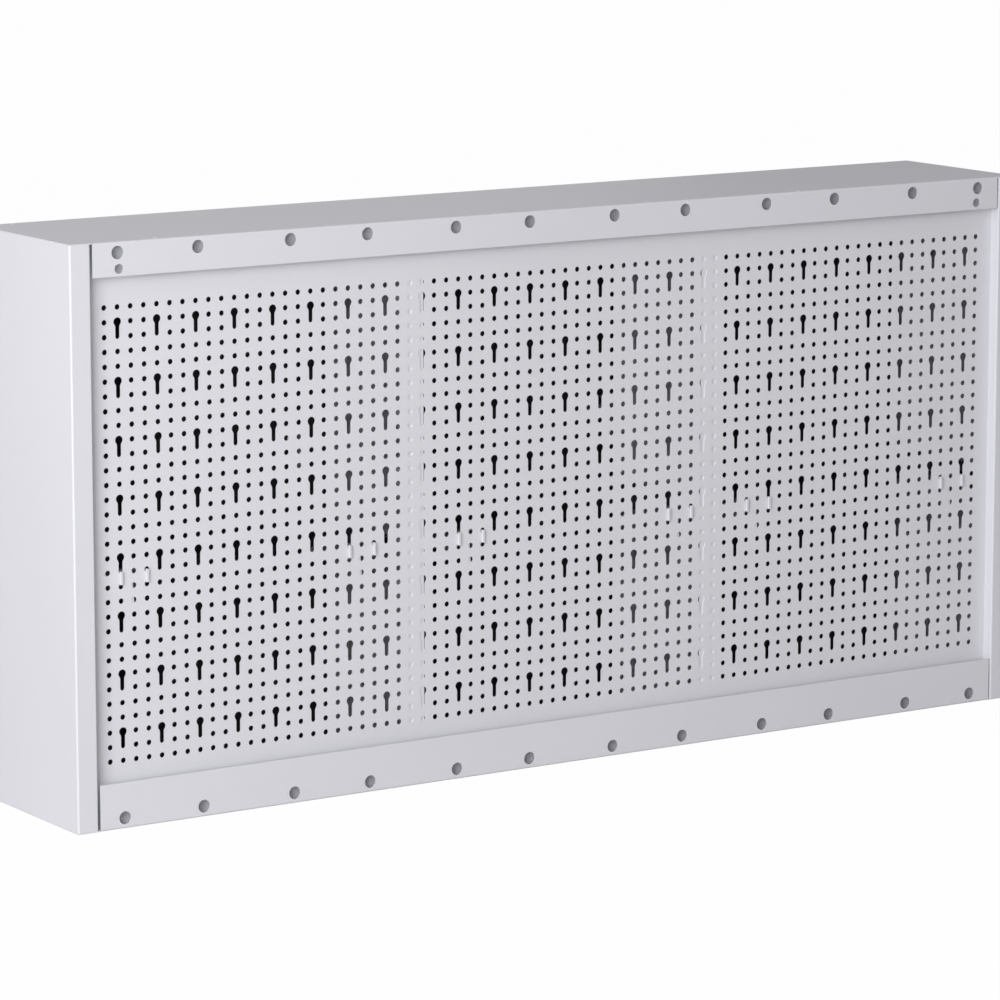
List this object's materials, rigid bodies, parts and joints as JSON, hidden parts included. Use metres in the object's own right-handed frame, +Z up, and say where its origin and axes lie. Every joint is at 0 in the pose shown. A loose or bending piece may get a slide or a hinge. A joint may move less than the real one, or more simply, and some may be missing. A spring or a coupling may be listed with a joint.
{
  "type": "wall cabinet with perforated tool wall",
  "caption": "Wall-hung steel tool cabinet with a perforated hanging wall, partitions, hook-in shelves, hinged locking doors and a drilled rear frame.",
  "frame": {"origin": "middle of the underside of the whole object, handles included", "axes": "+X along the width, to the right when the wall side is looked at; +Y from the wall side to the doors; +Z up"},
  "size_m": [1.2, 0.228, 0.6],
  "materials": {
    "frame_coat": "light grey fine-texture powder coat",
    "dark_coat": "dark grey fine-texture powder coat",
    "wall_coat": "light grey fine-texture powder coat on perforated sheet",
    "zinc": "bright zinc plating",
    "chrome": "satin nickel plating",
    "nylon": "natural nylon",
    "rubber": "matt black rubber"
  },
  "bodies": {
    "cabinet": {"left_side_panel": "frame_coat", "right_side_panel": "frame_coat", "top_panel": "frame_coat", "bottom_panel": "frame_coat", "perforated_wall": "wall_coat", "left_partition": "frame_coat", "right_partition": "frame_coat", "left_stop_rail": "dark_coat", "right_stop_rail": "dark_coat", "left_shelf": "dark_coat", "middle_shelf": "dark_coat", "right_shelf": "dark_coat", "left_shelf_brackets": "frame_coat", "middle_shelf_brackets": "frame_coat", "right_shelf_brackets": "frame_coat", "shelf_rivets": "zinc", "stop_rail_rivets": "zinc", "door_bumpers": "rubber", "left_hinge_pins": "zinc", "middle_hinge_pins": "zinc", "right_hinge_pins": "zinc"},
    "left_door": {"left_door_pan": "dark_coat", "left_door_stiffener": "dark_coat", "left_hinge_bushes": "nylon", "left_lock_housing": "chrome", "left_lock_nut": "zinc", "left_handle": "chrome", "left_handle_screws": "zinc"},
    "middle_door": {"middle_door_pan": "dark_coat", "middle_door_stiffener": "dark_coat", "middle_hinge_bushes": "nylon", "middle_lock_housing": "chrome", "middle_lock_nut": "zinc", "middle_handle": "chrome", "middle_handle_screws": "zinc"},
    "right_door": {"right_door_pan": "dark_coat", "right_door_stiffener": "dark_coat", "right_hinge_bushes": "nylon", "right_lock_housing": "chrome", "right_lock_nut": "zinc", "right_handle": "chrome", "right_handle_screws": "zinc"},
    "left_lock": {"left_lock_plug": "chrome", "left_lock_cam": "zinc"},
    "middle_lock": {"middle_lock_plug": "chrome", "middle_lock_cam": "zinc"},
    "right_lock": {"right_lock_plug": "chrome", "right_lock_cam": "zinc"}
  },
  "joints": [
    {"name": "left_door_hinge", "type": "hinge", "parent": "cabinet", "child": "left_door", "pos_m": [-0.563, 0.08, 0.3], "axis": [0, 0, 1], "range_deg": [0, 110]},
    {"name": "middle_door_hinge", "type": "hinge", "parent": "cabinet", "child": "middle_door", "pos_m": [-0.19, 0.08, 0.3], "axis": [0, 0, 1], "range_deg": [0, 110]},
    {"name": "right_door_hinge", "type": "hinge", "parent": "cabinet", "child": "right_door", "pos_m": [0.563, 0.08, 0.3], "axis": [0, 0, -1], "range_deg": [0, 110]},
    {"name": "left_lock_turn", "type": "hinge", "parent": "left_door", "child": "left_lock", "pos_m": [-0.239, 0.0615, 0.35], "axis": [0, -1, 0], "range_deg": [0, 90]},
    {"name": "middle_lock_turn", "type": "hinge", "parent": "middle_door", "child": "middle_lock", "pos_m": [0.164, 0.0615, 0.35], "axis": [0, -1, 0], "range_deg": [0, 90]},
    {"name": "right_lock_turn", "type": "hinge", "parent": "right_door", "child": "right_lock", "pos_m": [0.239, 0.0615, 0.35], "axis": [0, 1, 0], "range_deg": [0, 90]}
  ]
}
